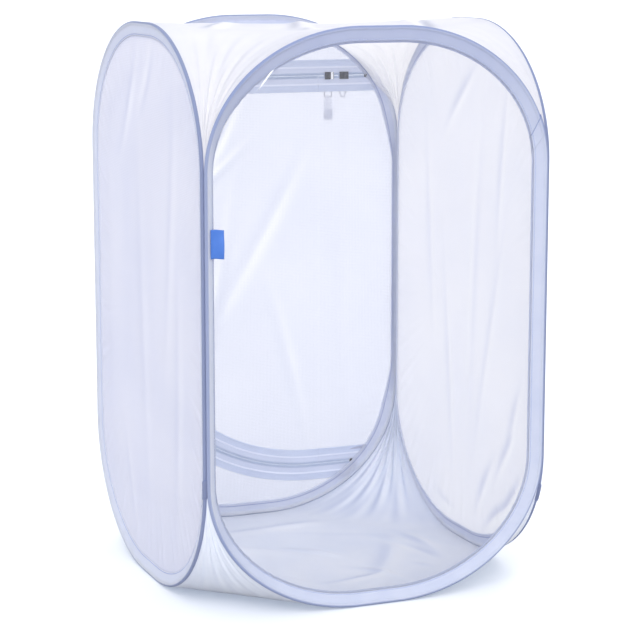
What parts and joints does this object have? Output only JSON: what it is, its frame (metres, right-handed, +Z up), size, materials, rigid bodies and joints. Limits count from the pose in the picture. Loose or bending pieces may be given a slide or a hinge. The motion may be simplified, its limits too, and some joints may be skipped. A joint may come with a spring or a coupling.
{
  "type": "insect cage",
  "caption": "Tall pop-up insect cage on four folding wire hoops, with a clear front window, mesh walls and a zipped rear door.",
  "frame": {"origin": "centre of the footprint at the height of the lowest binding", "axes": "+Z up, the clear window faces -Y, +X to the right of someone who looks at the window"},
  "size_m": [0.3852, 0.388, 0.6],
  "materials": {
    "binding_fabric": "woven polyester binding tape, pale lavender blue",
    "white_mesh": "fine white polyester mesh, see-through",
    "white_cloth": "smooth white polyester, slightly satin",
    "clear_film": "clear soft film",
    "spring_steel": "drawn spring wire",
    "zip_metal": "nickel plated",
    "zip_tape": "woven zip tape and facing",
    "zip_nylon": "nylon coil",
    "tab_plastic": "translucent soft plastic",
    "tag_ribbon": "satin ribbon, blank"
  },
  "bodies": {
    "front_frame": {"front_wire_hoop": "spring_steel", "front_wire_ferrule": "spring_steel", "front_binding": "binding_fabric", "front_film_window": "clear_film", "side_tag": "tag_ribbon", "top_panel": "white_cloth", "bottom_panel": "white_cloth"},
    "left_wall": {"left_wire_hoop": "spring_steel", "left_wire_ferrule": "spring_steel", "left_binding": "binding_fabric", "left_mesh_panel": "white_mesh"},
    "right_wall": {"right_wire_hoop": "spring_steel", "right_wire_ferrule": "spring_steel", "right_binding": "binding_fabric", "right_mesh_panel": "white_mesh"},
    "rear_wall": {"rear_wire_hoop": "spring_steel", "rear_wire_ferrule": "spring_steel", "rear_binding": "binding_fabric", "rear_mesh_surround": "white_mesh", "rear_mesh_strip": "white_mesh", "zip_tape_surround": "zip_tape", "zip_tape_top_end": "zip_tape", "zip_tape_bottom_end": "zip_tape", "zip_coil_surround": "zip_nylon", "zip_coil_top_end": "zip_nylon", "zip_coil_bottom_end": "zip_nylon", "zip_stop_top": "zip_metal", "zip_stop_bottom": "zip_metal"},
    "door_flap": {"door_mesh": "white_mesh", "door_zip_tape": "zip_tape", "door_zip_coil": "zip_nylon"},
    "left_slider": {"slider_left": "zip_metal"},
    "right_slider": {"slider_right": "zip_metal"},
    "left_pull": {"pull_ring_left": "zip_metal"},
    "right_pull": {"pull_ring_right": "zip_metal"},
    "tab": {"pull_tab": "tab_plastic"}
  },
  "joints": [
    {"name": "left_fold", "type": "hinge", "parent": "front_frame", "child": "left_wall", "pos_m": [-0.1874, -0.19193, 0.3], "axis": [0, 0, -1], "range_deg": [0, 84], "stiffness_Nm_per_rad": 0.12, "deforming": ["top_panel", "bottom_panel"]},
    {"name": "right_fold", "type": "hinge", "parent": "front_frame", "child": "right_wall", "pos_m": [0.1874, -0.19193, 0.3], "axis": [0, 0, -1], "range_deg": [0, 84]},
    {"name": "rear_fold", "type": "hinge", "parent": "left_wall", "child": "rear_wall", "pos_m": [-0.1874, 0.18923, 0.3], "axis": [0, 0, 1], "range_deg": [0, 84]},
    {"name": "door_swing", "type": "hinge", "parent": "rear_wall", "child": "door_flap", "pos_m": [0.086, 0.18943, 0.3], "axis": [0, 0, 1], "range_deg": [-110, 0]},
    {"name": "left_slider_run", "type": "slide", "parent": "rear_wall", "child": "left_slider", "axis": [1, 0, 0], "range_m": [-0.085, 0]},
    {"name": "right_slider_run", "type": "slide", "parent": "rear_wall", "child": "right_slider", "axis": [1, 0, 0], "range_m": [0, 0.0205]},
    {"name": "left_pull_swing", "type": "hinge", "parent": "left_slider", "child": "left_pull", "pos_m": [0.1, 0.19203, 0.527], "axis": [1, 0, 0], "range_deg": [0, 110]},
    {"name": "right_pull_swing", "type": "hinge", "parent": "right_slider", "child": "right_pull", "pos_m": [0.119, 0.19203, 0.527], "axis": [1, 0, 0], "range_deg": [0, 110]},
    {"name": "tab_swing", "type": "hinge", "parent": "left_pull", "child": "tab", "pos_m": [0.1, 0.19203, 0.5015], "axis": [1, 0, 0], "range_deg": [0, 90]}
  ],
  "couplings": [
    {"joint": "right_fold", "follows": "left_fold", "ratio": 1},
    {"joint": "rear_fold", "follows": "left_fold", "ratio": 1}
  ]
}
